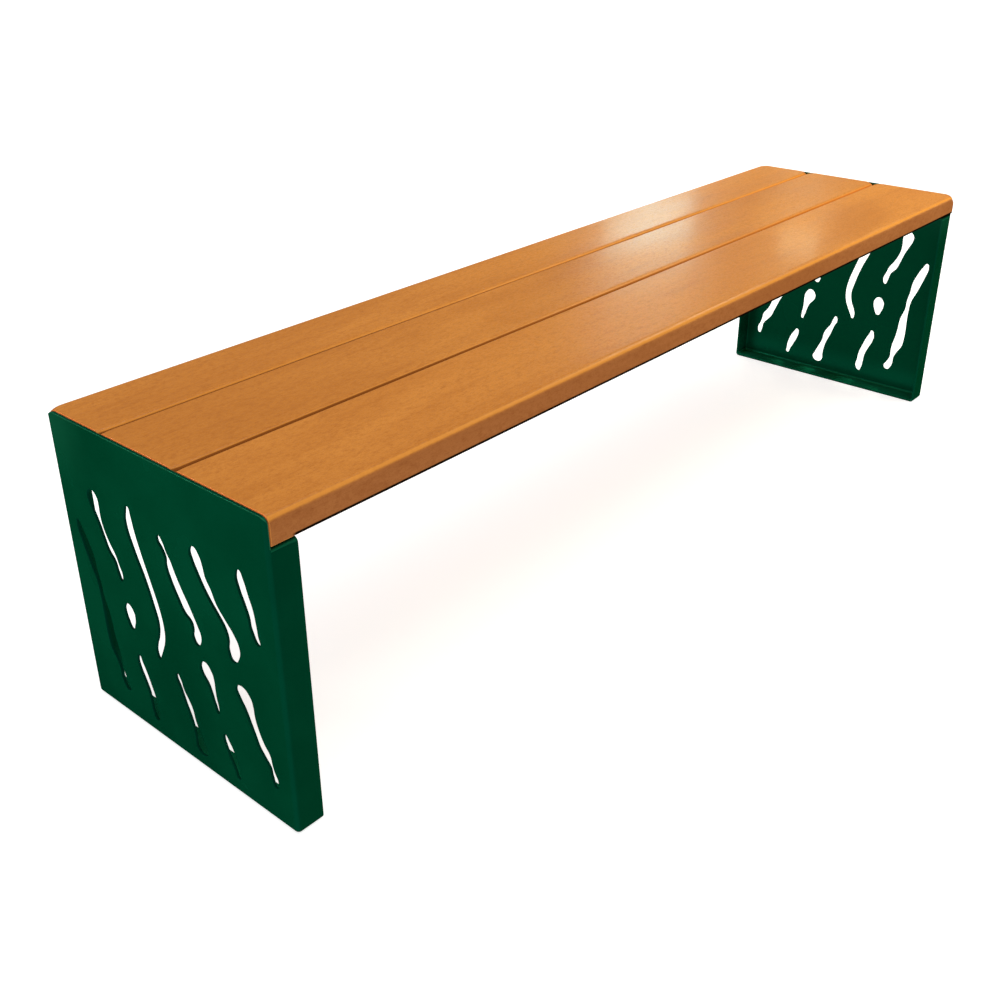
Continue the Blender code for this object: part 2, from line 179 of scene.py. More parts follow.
def node(tree, kind, inputs=None, **settings):
    """Adds a node. Each input, by name or number, is a value or another node's output."""
    made = tree.nodes.new(kind)
    for name, value in settings.items():
        setattr(made, name, value)
    for key, value in (inputs or {}).items():
        if isinstance(value, bpy.types.NodeSocket):
            tree.links.new(value, made.inputs[key])
        else:
            made.inputs[key].default_value = value
    return made


def stretched(tree, vector, scale, offset=(0, 0, 0)):
    """Coordinates scaled by a different amount along each axis."""
    inputs = {"Vector": vector, "Scale": scale, "Location": offset}
    return node(tree, "ShaderNodeMapping", inputs).outputs[0]


def noise_value(tree, vector, detail=2.0, roughness=0.5, distortion=0.0):
    inputs = {
        "Vector": vector,
        "Scale": 1.0,
        "Detail": detail,
        "Roughness": roughness,
        "Distortion": distortion,
    }
    return node(tree, "ShaderNodeTexNoise", inputs).outputs["Fac"]


def math_value(tree, operation, first, second=0.0):
    return node(tree, "ShaderNodeMath", {0: first, 1: second}, operation=operation).outputs[0]


def product(tree, first, *others):
    for other in others:
        first = math_value(tree, "MULTIPLY", first, other)
    return first


def greatest(tree, first, *others):
    for other in others:
        first = math_value(tree, "MAXIMUM", first, other)
    return first


def absolute(tree, value):
    return math_value(tree, "ABSOLUTE", value)


def above(tree, value, limit):
    """1 where the value is above the limit, else 0."""
    return math_value(tree, "GREATER_THAN", value, limit)


def below(tree, value, limit):
    """1 where the value is below the limit, else 0."""
    return math_value(tree, "LESS_THAN", value, limit)


def separated(tree, vector):
    """The three parts of a vector."""
    return node(tree, "ShaderNodeSeparateXYZ", {0: vector}).outputs


def surface_normal(tree):
    return node(tree, "ShaderNodeNewGeometry").outputs["Normal"]


def remap(tree, value, low, high, to_low=0.0, to_high=1.0, smooth=False):
    """Maps low..high to to_low..to_high, held at both ends."""
    inputs = {"Value": value, "From Min": low, "From Max": high, "To Min": to_low, "To Max": to_high}
    kind = "SMOOTHSTEP" if smooth else "LINEAR"
    return node(tree, "ShaderNodeMapRange", inputs, interpolation_type=kind).outputs["Result"]


def mix_colour(tree, amount, first, second, blend="MIX"):
    made = node(tree, "ShaderNodeMix", {0: amount, 6: first, 7: second}, data_type="RGBA", blend_type=blend)
    return made.outputs[2]


def bump(tree, height, strength, distance):
    inputs = {"Height": height, "Strength": strength, "Distance": distance}
    return node(tree, "ShaderNodeBump", inputs).outputs[0]


def rgb(red, green, blue):
    return (red, green, blue, 1.0)


def toned(colour, tone):
    """A colour made lighter or darker by a factor."""
    return rgb(*[part * tone for part in colour])


def edge_mask(tree, radius, low=0.004, high=0.06):
    """1 along edges and 0 on flat faces: how far the rounded normal leans from the true one."""
    rounded = node(tree, "ShaderNodeBevel", {"Radius": radius}, samples=4).outputs[0]
    pair = {0: rounded, 1: surface_normal(tree)}
    dot = node(tree, "ShaderNodeVectorMath", pair, operation="DOT_PRODUCT").outputs["Value"]
    return remap(tree, math_value(tree, "SUBTRACT", 1.0, dot), low, high, smooth=True)


def new_material(name):
    """An empty node material. Returns it with its tree, its Principled shader and object coordinates."""
    material = bpy.data.materials.new(name)
    material.use_nodes = True
    tree = material.node_tree
    place = node(tree, "ShaderNodeTexCoord").outputs["Object"]
    return material, tree, tree.nodes["Principled BSDF"], place


def connect(tree, shader, **sockets):
    """Joins outputs, or sets values, on the shader. Underscores in a name stand for spaces."""
    for name, value in sockets.items():
        target = shader.inputs[name.replace("_", " ")]
        if isinstance(value, bpy.types.NodeSocket):
            tree.links.new(value, target)
        else:
            target.default_value = value


# ---- Materials ----


def timber_noises(tree, place, seed):
    """The noises that a slat's colour, gloss and relief share."""
    shift = (seed * 3.7, seed * 1.3, seed * 2.1)
    noises = {}
    for name, (along, across, detail, roughness, distortion) in TIMBER_NOISES.items():
        vector = stretched(tree, place, (along, across, across), shift)
        noises[name] = noise_value(tree, vector, detail, roughness, distortion)
    noises["fleck"] = remap(tree, noises["pores"], 0.64, 0.74, smooth=True)
    return noises


def plain_timber(tree, noises, tone):
    """The colour of a flat timber face: clouded, figured and mottled, with short dark flecks."""
    light = toned(TIMBER_LIGHT, tone)
    dark = toned(TIMBER_DARK, tone)
    clouds = remap(tree, noises["cloud"], 0.30, 0.72, smooth=True)
    colour = mix_colour(tree, clouds, toned(TIMBER_MIDDLE, tone), light)
    colour = mix_colour(tree, remap(tree, noises["figure"], 0.48, 0.78, 0.0, 0.35), colour, dark)
    colour = mix_colour(tree, remap(tree, noises["mottle"], 0.46, 0.74, 0.0, 0.60), colour, dark)
    colour = mix_colour(tree, remap(tree, noises["speckle"], 0.48, 0.72, 0.0, 0.45), colour, dark)
    colour = mix_colour(tree, remap(tree, noises["fibre"], 0.40, 0.75, 0.0, 0.12), colour, light)
    return mix_colour(tree, product(tree, noises["fleck"], 0.45), colour, rgb(0.22, 0.06, 0.012))


def timber_masks(tree, place, which):
    """Where a slat stands upright, turns an edge or ends, and where painted shade goes: each from 0 to 1."""
    low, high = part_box(f"slat_{which}")
    front_arris, rear_arris = ARRISES[which]
    x, y, z = separated(tree, place)
    facing_x, facing_y, facing_z = separated(tree, surface_normal(tree))
    across = absolute(tree, facing_y)
    upward = above(tree, facing_z, 0.0)
    depth = math_value(tree, "SUBTRACT", high.z, z)
    shallow = remap(tree, depth, 2 * MM, 4 * MM, 1.0, 0.0)
    steep = remap(tree, across, 0.46, 0.64, smooth=True)
    not_too_steep = remap(tree, across, 0.80, 0.92, 1.0, 0.0, smooth=True)
    ends = remap(tree, absolute(tree, facing_x), 0.93, 0.99, 0.0, 0.75, smooth=True)

    # Painted shade along the edges that turn away at the far end, and on the rear slat's rear edge
    shaded_edge = product(tree, remap(tree, facing_x, 0.03, 0.15), shallow)
    if which == "rear":
        rear_edge = product(tree, remap(tree, facing_y, 0.05, 0.20), upward)
        shaded_edge = greatest(tree, shaded_edge, rear_edge)

    joint_sides = []
    if which != "front":
        joint_sides.append(below(tree, y, low.y + front_arris + MM))
    if which != "rear":
        joint_sides.append(above(tree, y, high.y - rear_arris - MM))
    # Painted shade in the joints between the slats
    deep = remap(tree, depth, *GROOVE_SHADE[which], smooth=True)
    groove = product(tree, deep, greatest(tree, *joint_sides))

    # Painted shade: the lower front edges go black past the flanges
    flange_end = low.x + FLANGE_DEPTH
    shaded_foot = product(
        tree,
        remap(tree, math_value(tree, "SUBTRACT", z, low.z), 4.2 * MM, 5.4 * MM, 1.0, 0.0, smooth=True),
        remap(tree, across, 0.15, 0.35, smooth=True),
        remap(tree, x, flange_end - 14 * MM, flange_end - 8 * MM),
    )
    return {
        "standing": remap(tree, absolute(tree, facing_z), 0.25, 0.60, 1.0, 0.0, smooth=True),
        "arris": product(tree, steep, upward, not_too_steep),
        "end_grain": product(tree, ends, remap(tree, depth, 2.5 * MM, 5 * MM)),
        "left_arris": product(tree, remap(tree, facing_x, -0.45, -0.20, 1.0, 0.0), shallow),
        "shaded_edge": shaded_edge,
        "groove": groove,
        "far_along": remap(tree, x, -0.5, 0.7),
        "shaded_foot": shaded_foot,
    }


def used_timber(tree, colour, masks):
    """The timber's colour with its darker end grain, and with painted light and shade: painted highlights on
    the arrises and left end edges, painted shade on upright faces, turned-away edges and joints, black on
    lower front edges.
    """
    # Painted shade: upright faces are darkened
    colour = mix_colour(tree, masks["standing"], colour, rgb(0.68, 0.65, 1.05), "MULTIPLY")
    # Painted highlight along the upper arrises
    colour = mix_colour(tree, product(tree, masks["arris"], 0.6), colour, rgb(0.70, 0.275, 0.048))
    colour = mix_colour(tree, masks["end_grain"], colour, rgb(0.30, 0.09, 0.02))
    # Painted highlight along the edges at the slats' left ends
    colour = mix_colour(tree, product(tree, masks["left_arris"], 0.85), colour, rgb(0.85, 0.22, 0.050))
    # Painted shade along the edges turned away at the far end and the rear
    colour = mix_colour(tree, product(tree, masks["shaded_edge"], 0.85), colour, rgb(0.42, 0.110, 0.010))
    # Painted shade in the joints, paler further along the seat
    groove_shade_colour = mix_colour(tree, masks["far_along"], rgb(0.19, 0.052, 0.010), rgb(0.50, 0.15, 0.030))
    colour = mix_colour(tree, product(tree, masks["groove"], 0.9), colour, groove_shade_colour)
    # Painted shade: the lower front edges are black
    return mix_colour(tree, masks["shaded_foot"], colour, rgb(0.004, 0.002, 0.001))


def timber_relief(tree, noises):
    """A bump of slow ripples, figure, raised fibres and sunken flecks."""
    height = math_value(tree, "ADD", product(tree, noises["ripple"], 0.7), noises["figure"])
    height = math_value(tree, "ADD", height, product(tree, noises["fibre"], 0.18))
    height = math_value(tree, "ADD", height, product(tree, noises["speckle"], 0.20))
    height = math_value(tree, "SUBTRACT", height, product(tree, noises["fleck"], 0.25))
    return bump(tree, height, 0.55, 0.25 * MM)


def timber_material(name, which, seed, tone):
    """Varnished timber with the grain along X. Its tone makes a slat lighter or darker than the next."""
    material, tree, shader, place = new_material(name)
    noises = timber_noises(tree, place, seed)
    masks = timber_masks(tree, place, which)
    colour = used_timber(tree, plain_timber(tree, noises, tone), masks)

    # Only the upper faces were rubbed to a gloss
    dull = greatest(tree, masks["standing"], masks["shaded_foot"], masks["groove"])
    dull = greatest(tree, dull, product(tree, masks["arris"], 0.8))
    polished = math_value(tree, "SUBTRACT", 1.0, dull)
    polished = product(tree, polished, remap(tree, noises["sheen"], 0.38, 0.64, 0.35, 1.65))
    rough = remap(tree, noises["cloud"], 0.30, 0.70, 0.28, 0.37)
    rough = math_value(tree, "ADD", rough, product(tree, noises["fleck"], 0.15))
    connect(
        tree,
        shader,
        Base_Color=colour,
        Roughness=rough,
        Normal=timber_relief(tree, noises),
        Specular_IOR_Level=product(tree, polished, 0.08),
        Coat_Weight=product(tree, polished, 0.05),
        Coat_Roughness=0.12,
    )
    return material


def coat_masks(tree, place, peel):
    """Where the powder coat is sheltered, where it gets painted light, highlights or shade, and where it is
    the wall of a slot: each from 0 to 1.
    """
    low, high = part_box("left_end_panel")
    x, y, z = separated(tree, place)
    facing_x, facing_y, facing_z = separated(tree, surface_normal(tree))
    from_middle = absolute(tree, x)
    aside = absolute(tree, y)
    behind = SHEET - 0.5 * MM
    inside = product(
        tree,
        below(tree, from_middle, -low.x - behind),
        below(tree, aside, high.y - behind),
        above(tree, z, behind),
    )
    outside = math_value(tree, "SUBTRACT", 1.0, inside)
    # Painted highlight: a soft light patch at the upper rear corner outside
    upper_rear = product(
        tree,
        remap(tree, aside, 0.12, 0.23, smooth=True),
        remap(tree, z, 0.34, 0.44, smooth=True),
        below(tree, product(tree, x, y), 0.0),
    )
    # Painted highlight along the upper cut edge
    edge_highlight = product(
        tree,
        edge_mask(tree, 1.4 * MM),
        above(tree, z, SHELF_TOP),
        remap(tree, peel, 0.35, 0.65, 0.40, 0.85),
    )
    # Painted highlight over the shelf's upward bends
    bend = product(tree, remap(tree, facing_z, 0.25, 0.50), remap(tree, facing_z, 0.70, 0.97, 1.0, 0.0))
    # Painted shade on the walls of the slots
    slot_wall = product(
        tree,
        above(tree, from_middle, -low.x - SHEET - TINY),
        remap(tree, absolute(tree, facing_x), 0.80, 0.97, 1.0, 0.0),
        below(tree, aside, high.y - BEND_OUTSIDE - MM),
        below(tree, z, SHELF_TOP - BEND_OUTSIDE),
        above(tree, z, BEND_OUTSIDE + MM),
    )
    return {
        "inside": inside,
        # Painted light low inside the fold and on the bottom flange
        "low_inside": product(tree, inside, remap(tree, z, 10 * MM, 70 * MM, 1.0, 0.0, smooth=True)),
        "bottom_flange": product(tree, inside, below(tree, z, 2 * SHEET)),
        # Painted shade on the outer flanks
        "flank": product(tree, remap(tree, absolute(tree, facing_y), 0.80, 0.95), outside),
        "upper_rear": upper_rear,
        "edge_highlight": edge_highlight,
        "bend": bend,
        "slot_wall": slot_wall,
    }


def powder_coat_material(name, seed, tone=1.0):
    """Dark green powder coat: faint orange peel and a little dust, with painted highlights, painted shade and
    painted light.
    """
    material, tree, shader, place = new_material(name)
    shift = (seed * 1.9, seed * 0.7, seed * 2.3)
    peel = noise_value(tree, stretched(tree, place, (260, 260, 260), shift), 2, 0.5)
    cloud = noise_value(tree, stretched(tree, place, (5, 5, 5), shift), 4, 0.6)
    dust = noise_value(tree, stretched(tree, place, (1400, 1400, 1400), shift), 1, 0.5)
    masks = coat_masks(tree, place, peel)

    cloudy = remap(tree, cloud, 0.30, 0.72, smooth=True)
    colour = mix_colour(tree, cloudy, toned(COAT_DEEP, tone), toned(COAT_BRIGHT, tone))
    colour = mix_colour(tree, remap(tree, dust, 0.72, 0.80, 0.0, 0.25), colour, rgb(0.03, 0.12, 0.075))

    # The sun fades the outside, so the green inside the fold is fresher. Low inside the fold and on the bottom
    # flange the green is painted lighter: painted light in the fold's shade
    colour = mix_colour(tree, product(tree, masks["inside"], 0.8), colour, toned(COAT_FRESH, tone))
    colour = mix_colour(tree, product(tree, masks["low_inside"], 0.8), colour, rgb(0.001, 0.090, 0.044))
    colour = mix_colour(tree, product(tree, masks["bottom_flange"], 0.8), colour, rgb(0.006, 0.200, 0.105))

    # Outside, the flanks get painted shade and the upper rear corner a soft painted highlight
    colour = mix_colour(tree, masks["flank"], colour, rgb(1.0, 0.82, 0.76), "MULTIPLY")
    colour = mix_colour(tree, product(tree, masks["upper_rear"], 0.45), colour, rgb(0.010, 0.090, 0.050))

    # Painted highlights along the upper cut edge and over the shelf's bends
    colour = mix_colour(tree, masks["edge_highlight"], colour, rgb(0.040, 0.160, 0.085))
    colour = mix_colour(tree, product(tree, masks["bend"], 0.6), colour, rgb(0.010, 0.160, 0.080))

    # The walls of the slots get painted shade, without the coat's metal flake
    colour = mix_colour(tree, masks["slot_wall"], colour, rgb(0.0, 0.033, 0.018))
    metallic = remap(tree, masks["slot_wall"], 0.0, 1.0, 0.25, 0.0)
    connect(
        tree,
        shader,
        Base_Color=colour,
        Roughness=remap(tree, cloud, 0.30, 0.70, 0.20, 0.30),
        Normal=bump(tree, peel, 0.25, 0.08 * MM),
        Metallic=metallic,
        Specular_IOR_Level=0.0,
        Specular_Tint=rgb(0.0, 0.40, 0.30),
    )
    return material


def zinc_material(name, brightness):
    """Zinc plated steel: streaky, slightly yellowed, duller in its low spots."""
    material, tree, shader, place = new_material(name)
    streak = noise_value(tree, stretched(tree, place, (500, 500, 3000)), 3, 0.6)
    bloom = noise_value(tree, stretched(tree, place, (300, 300, 300)), 4, 0.65)
    bright = toned((0.62, 0.62, 0.60), brightness)
    dull = toned((0.42, 0.41, 0.36), brightness)
    colour = mix_colour(tree, remap(tree, bloom, 0.40, 0.70, smooth=True), bright, dull)
    rough = remap(tree, streak, 0.30, 0.70, 0.22, 0.42)
    relief = bump(tree, streak, 0.2, 0.03 * MM)
    connect(tree, shader, Base_Color=colour, Metallic=1.0, Roughness=rough, Normal=relief)
    return material


def rubber_material():
    """Black rubber with a fine moulded grain and grey bloom."""
    material, tree, shader, place = new_material("pad_rubber")
    grain = noise_value(tree, stretched(tree, place, (1500, 1500, 1500)), 2, 0.5)
    bloom = noise_value(tree, stretched(tree, place, (60, 60, 60)), 4, 0.6)
    black = rgb(0.012, 0.012, 0.012)
    grey = rgb(0.040, 0.039, 0.037)
    colour = mix_colour(tree, remap(tree, bloom, 0.45, 0.75), black, grey)
    rough = remap(tree, bloom, 0.30, 0.70, 0.70, 0.90)
    connect(tree, shader, Base_Color=colour, Roughness=rough, Normal=bump(tree, grain, 0.4, 0.05 * MM))
    return material


def floor_material():
    """Pale matt studio floor that glows a little, so that shadows stay soft."""
    material, tree, shader, place = new_material("studio_floor")
    cloud = noise_value(tree, stretched(tree, place, (0.8, 0.8, 0.8)), 3, 0.5)
    colour = mix_colour(tree, cloud, rgb(0.46, 0.46, 0.46), rgb(0.48, 0.48, 0.48))
    connect(
        tree,
        shader,
        Base_Color=colour,
        Roughness=0.9,
        Specular_IOR_Level=0.1,
        Emission_Color=rgb(1, 1, 1),
        Emission_Strength=0.78,
    )
    return material


# ---- Mesh helpers ----


def new_object(name, data, material=None):
    """An object for a mesh, curve, light or camera, linked to the scene."""
    obj = bpy.data.objects.new(name, data)
    bpy.context.scene.collection.objects.link(obj)
    if material is not None:
        data.materials.clear()
        data.materials.append(material)
    return obj


def mesh_from(bm, name):
    mesh = bpy.data.meshes.new(name)
    bmesh.ops.recalc_face_normals(bm, faces=bm.faces)
    bm.to_mesh(mesh)
    bm.free()
    return mesh


def remove_objects(*objects):
    for obj in objects:
        bpy.data.objects.remove(obj, do_unlink=True)


def evaluated_mesh(obj, name):
    """A plain mesh of the object as its modifiers or its curve make it."""
    graph = bpy.context.evaluated_depsgraph_get()
    mesh = bpy.data.meshes.new_from_object(obj.evaluated_get(graph))
    mesh.name = name
    return mesh


def shaded(mesh, angle):
    """The mesh shaded smooth but for edges sharper than the angle, with its large flat faces kept flat."""
    mesh.shade_smooth()
    mesh.set_sharp_from_angle(angle=math.radians(angle))
    obj = new_object(mesh.name, mesh)
    weighted = obj.modifiers.new("weighted_normals", "WEIGHTED_NORMAL")
    weighted.keep_sharp = True
    weighted.weight = 100
    result = evaluated_mesh(obj, mesh.name)
    remove_objects(obj)
    return result


def box(low, high):
    """A bmesh box between two corners."""
    bm = bmesh.new()
    bmesh.ops.create_cube(bm, size=1.0)
    low = Vector(low)
    high = Vector(high)
    bmesh.ops.scale(bm, vec=high - low, verts=bm.verts)
    bmesh.ops.translate(bm, vec=(low + high) / 2, verts=bm.verts)
    return bm


def add_cylinder(bm, radius, bottom, top, sides=32):
    """Adds a closed cylinder that stands between two points, one above the other."""
    bottom = Vector(bottom)
    top = Vector(top)
    bmesh.ops.create_cone(
        bm,
        cap_ends=True,
        segments=sides,
        radius1=radius,
        radius2=radius,
        depth=(top - bottom).length,
        matrix=Matrix.Translation((bottom + top) / 2),
    )


def close_rings(bm, rings):
    """Makes a closed solid from rings of vertices, each joined to the next, with a face over each end."""
    for first, second in zip(rings, rings[1:]):
        for index in range(len(first)):
            after = (index + 1) % len(first)
            bm.faces.new((first[index], first[after], second[after], second[index]))
    bm.faces.new(rings[0])
    bm.faces.new(reversed(rings[-1]))


def rounded_outline(low, high, radii, steps):
    """Points of a rectangle with rounded corners: radii at low-low, high-low, high-high and low-high."""
    corners = [
        (low[0], low[1], 1, 1, 180),
        (high[0], low[1], -1, 1, 270),
        (high[0], high[1], -1, -1, 0),
        (low[0], high[1], 1, -1, 90),
    ]
    points = []
    for (x, y, side_x, side_y, start), radius in zip(corners, radii):
        centre = (x + side_x * radius, y + side_y * radius)
        for step in range(steps + 1):
            angle = math.radians(start + 90 * step / steps)
            points.append((centre[0] + radius * math.cos(angle), centre[1] + radius * math.sin(angle)))
    return points


def plate_mesh(name, outline, thickness, edge, placement):
    """A flat plate with eased edges, as a welded mesh."""
    curve = bpy.data.curves.new(name, "CURVE")
    curve.dimensions = "2D"
    curve.fill_mode = "BOTH"
    curve.extrude = thickness / 2 - edge
    curve.bevel_depth = edge
    curve.bevel_resolution = 2
    curve.offset = -edge
    spline = curve.splines.new("POLY")
    spline.points.add(len(outline) - 1)
    for point, (x, y) in zip(spline.points, outline):
        point.co = (x, y, 0, 1)
    spline.use_cyclic_u = True
    obj = new_object(name, curve)
    mesh = evaluated_mesh(obj, name)
    remove_objects(obj)
    bm = bmesh.new()
    bm.from_mesh(mesh)
    bmesh.ops.remove_doubles(bm, verts=bm.verts, dist=0.002 * MM)
    bmesh.ops.transform(bm, matrix=placement, verts=bm.verts)
    bmesh.ops.recalc_face_normals(bm, faces=bm.faces)
    bm.to_mesh(mesh)
    bm.free()
    return mesh


def combined(obj, steps, name):
    """The mesh of obj after Booleans with other objects, which are then removed with it."""
    for operation, other in steps:
        modifier = obj.modifiers.new(operation.lower(), "BOOLEAN")
        modifier.operation = operation
        modifier.solver = "EXACT"
        modifier.object = other
    mesh = evaluated_mesh(obj, name)
    remove_objects(obj, *[other for _, other in steps])
    return mesh


def screw_names(row):
    return [f"{row}_screw_{number}" for number in range(1, SCREWS_IN_A_ROW + 1)]


def piece(name, mesh, material, slot, *replaced, place=(0, 0, 0)):
    """A shown piece of the bench that stands for the CAD nodes named in replaced."""
    obj = new_object(name, mesh, material)
    obj.location = place
    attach(obj, "root")
    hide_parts(*replaced)
    return obj


# ---- End panels ----


def slot_outline(stations, rear_edge):
    """One side of the slot from the top down, then the other back up, with a single point at each tip."""
    middle = [station for station in stations if station[2] > 0]
    points = [stations[0][:2]]
    points += [(across + width / 2, up) for across, up, width in middle]
    points.append(stations[-1][:2])
    points += [(across - width / 2, up) for across, up, width in reversed(middle)]
    return [(rear_edge - across * MM, up * MM) for across, up in points]


def round_box_edges(bm, keep_sharp, radius, steps):
    edges = [edge for edge in bm.edges if not all(keep_sharp(vert.co) for vert in edge.verts)]
    bmesh.ops.bevel(bm, geom=edges, offset=radius, segments=steps, profile=0.5, affect="EDGES")


def ease_rim(mesh, opening):
    """Eases the cut edges of a folded sheet where it ends, at x = opening."""
    bm = bmesh.new()
    bm.from_mesh(mesh)
    near = 0.01 * MM
    edges = [edge for edge in bm.edges if all(abs(vert.co.x - opening) < near for vert in edge.verts)]
    edges = [edge for edge in edges if edge.calc_face_angle(0) > math.radians(60)]
    bmesh.ops.bevel(bm, geom=edges, offset=EDGE_ROUND, segments=3, profile=0.5, affect="EDGES")
    bm.to_mesh(mesh)
    bm.free()


def outline_above(half, height, corners):
    """Outline of the space above a height, which leaves rounded corners at the panel's rear and front."""
    corner_steps = 10
    whole = rounded_outline((-half, 0), (half, height), (MM, MM, *corners), corner_steps)
    shoulders = whole[-2 * (corner_steps + 1):]
    rear_start = shoulders[0][1]
    front_start = shoulders[-1][1]
    wide = half + CUTTER_PAST
    lid = BLANK_TOP + CUTTER_PAST
    return [(wide, rear_start), *shoulders, (-wide, front_start), (-wide, lid), (wide, lid)]


def add_prism(bm, outline, profile):
    """Adds a closed solid: the (y, z) outline carried along X through steps of (x, how far it spreads)."""
    rings = []
    for x, wide in profile:
        rings.append([bm.verts.new((x, y, z)) for y, z in spread(outline, wide)])
    close_rings(bm, rings)


def folded_sheet(outside, half):
    """The folded sheet: outer sheet, two side flanges, bottom flange and shelf, open at its inner side. The
    outer sheet goes on above the shelf, still uncut.
    """
    opening = outside + FLANGE_DEPTH
    past = opening + CUTTER_PAST
    blank = box((outside, -half, 0), (opening, half, BLANK_TOP))
    round_box_edges(blank, lambda co: co.x > opening - TINY or co.z > BLANK_TOP - TINY, BEND_OUTSIDE, 10)
    blank = new_object("sheet_blank", mesh_from(blank, "sheet_blank"))

    hollow = box((outside + SHEET, -half + SHEET, SHEET), (past, half - SHEET, SHELF_TOP - SHEET))
    round_box_edges(hollow, lambda co: co.x > past - TINY, BEND_INSIDE, 6)
    hollow = new_object("sheet_hollow", mesh_from(hollow, "sheet_hollow"))
    over_shelf = bmesh.new()
    bends = (BEND_OUTSIDE, BEND_OUTSIDE)
    add_prism(over_shelf, outline_above(half, SHELF_TOP, bends), [(outside + SHEET, 0), (past, 0)])
    over_shelf = new_object("over_shelf", mesh_from(over_shelf, "over_shelf"))
    mesh = combined(blank, [("DIFFERENCE", hollow), ("DIFFERENCE", over_shelf)], "folded_sheet")
    ease_rim(mesh, opening)
    return new_object("folded_sheet", mesh)


def smooth_outline(points):
    """Points along the smooth closed curve through the given ones."""
    curve = bpy.data.curves.new("outline", "CURVE")
    curve.dimensions = "2D"
    curve.fill_mode = "NONE"
    curve.resolution_u = SLOT_STEPS
    spline = curve.splines.new("BEZIER")
    spline.bezier_points.add(len(points) - 1)
    for point, (x, y) in zip(spline.bezier_points, points):
        point.co = (x, y, 0)
        point.handle_left_type = "AUTO"
        point.handle_right_type = "AUTO"
    spline.use_cyclic_u = True
    obj = new_object("outline", curve)
    mesh = evaluated_mesh(obj, "outline")
    remove_objects(obj)
    return [(vert.co.x, vert.co.y) for vert in mesh.vertices]


def spread(points, distance):
    """A closed outline moved outwards, away from its own middle line, by a small distance."""
    area = sum(a[0] * b[1] - b[0] * a[1] for a, b in zip(points, points[1:] + points[:1]))
    outward = 1 if area > 0 else -1
    moved = []
    for before, point, after in zip(points[-1:] + points[:-1], points, points[1:] + points[:1]):
        along = Vector((after[0] - before[0], after[1] - before[1])).normalized()
        moved.append((point[0] + outward * along.y * distance, point[1] - outward * along.x * distance))
    return moved


def through_cutters(outside, half, top):
    """The slots and the space above the plate, flared at the sheet's faces so that cut edges are eased."""
    wides = [EDGE_ROUND * (1 - math.sin(angle)) for angle in EASE_ANGLES]
    depths = [EDGE_ROUND * (1 - math.cos(angle)) for angle in EASE_ANGLES]
    outer = [(outside + depth, wide) for wide, depth in zip(wides, depths)]
    inner = [(outside + SHEET - depth, wide) for wide, depth in zip(wides[::-1], depths[::-1])]
    profile = [(outside - SHEET, EDGE_ROUND), *outer, *inner, (outside + 2 * SHEET, EDGE_ROUND)]
    bm = bmesh.new()
    add_prism(bm, outline_above(half, top, PLATE_CORNERS), profile)
    for stations in SLOTS:
        add_prism(bm, smooth_outline(slot_outline(stations, half)), profile)
    return new_object("through_cutters", mesh_from(bm, "through_cutters"))


def panel_holes(side, outside):
    """A hole in the shelf over each of that side's washers."""
    bm = bmesh.new()
    middle = outside + (SHEET + FLANGE_DEPTH) / 2
    turned = -1 if side == "right" else 1
    for number in range(1, SCREWS_IN_A_ROW + 1):
        low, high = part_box(f"{side}_washer_{number}")
        across = turned * (low.y + high.y) / 2
        bottom = (middle, across, SHELF_TOP - 2 * SHEET)
        add_cylinder(bm, STEEL_HOLE_RADIUS, bottom, (middle, across, SHELF_TOP + SHEET))
    return new_object("panel_holes", mesh_from(bm, "panel_holes"))


def panel_mesh(name, side, half, top, outside):
    """An end panel, made as the left one and turned half a turn for the right."""
    steps = [
        ("DIFFERENCE", through_cutters(outside, half, top)),
        ("DIFFERENCE", panel_holes(side, outside)),
    ]
    mesh = combined(folded_sheet(outside, half), steps, name)
    if side == "right":
        mesh.transform(Matrix.Rotation(math.pi, 4, "Z"))
    return shaded(mesh, 32)


def add_panels():
    for seed, side in enumerate(("left", "right"), 1):
        low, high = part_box(f"{side}_end_panel")
        outside = -max(abs(low.x), abs(high.x))
        mesh = panel_mesh(f"{side}_panel_steel", side, high.y, high.z, outside)
        coat = powder_coat_material(f"{side}_panel_coat", seed)
        piece(f"{side}_panel_steel", mesh, coat, "green_powder_coat", f"{side}_end_panel")


# ---- Timber ----


def slat_stations(start, end):
    """Places along a slat, each with how far the outline is drawn in there to ease the end."""
    near_end = []
    ease_steps = 4
    for step in range(ease_steps + 1):
        angle = math.radians(90 * step / ease_steps)
        near_end.append((END_ARRIS * (1 - math.cos(angle)), END_ARRIS * (1 - math.sin(angle))))
    near_end += [(END_WEAR_LENGTH * part, 0.0) for part in (0.15, 0.3, 0.5, 0.75, 1.0)]
    spans = 60
    first = start + END_WEAR_LENGTH
    last = end - END_WEAR_LENGTH
    stations = [(start + along, inset) for along, inset in near_end]
    stations += [(first + (last - first) * step / spans, 0.0) for step in range(1, spans)]
    stations += [(end - along, inset) for along, inset in reversed(near_end)]
    return stations


def slat_holes(low, high):
    """A hole in the underside of a slat, between two corners, for each screw that goes up into it."""
    holes = bmesh.new()
    top = low.z + SCREW_REACH + HOLE_PAST_SCREW
    for row in SCREW_ROWS:
        for name in screw_names(row):
            screw_low, screw_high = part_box(name)
            x, y, _ = (screw_low + screw_high) / 2
            if low.y < y < high.y:
                add_cylinder(holes, CLOSE_HOLE_RADIUS, (x, y, low.z - CUTTER_PAST), (x, y, top))
    return new_object("holes", mesh_from(holes, "holes"))


